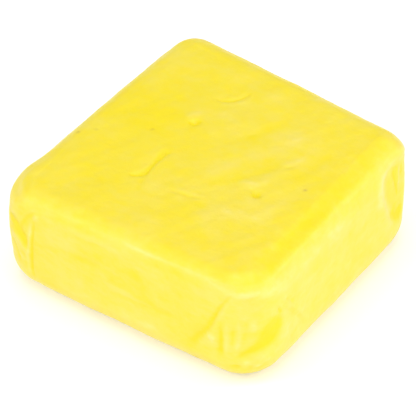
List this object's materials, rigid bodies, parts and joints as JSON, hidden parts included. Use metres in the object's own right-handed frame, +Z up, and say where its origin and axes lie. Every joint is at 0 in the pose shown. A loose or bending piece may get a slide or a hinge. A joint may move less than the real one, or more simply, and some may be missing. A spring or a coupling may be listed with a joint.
{
  "type": "detailing clay bar",
  "caption": "Thick square bar of soft yellow detailing clay with rounded edges and packing folds pressed into its corners.",
  "frame": {"origin": "middle of the bar's box, on the flat base", "axes": "+Z up through the thickness, +X along the front side to the right, +Y from the front side to the back side"},
  "size_m": [0.0586, 0.0582, 0.0226],
  "materials": {
    "clay": "matte, waxy"
  },
  "bodies": {
    "root": {"clay_block": "clay"}
  },
  "joints": []
}
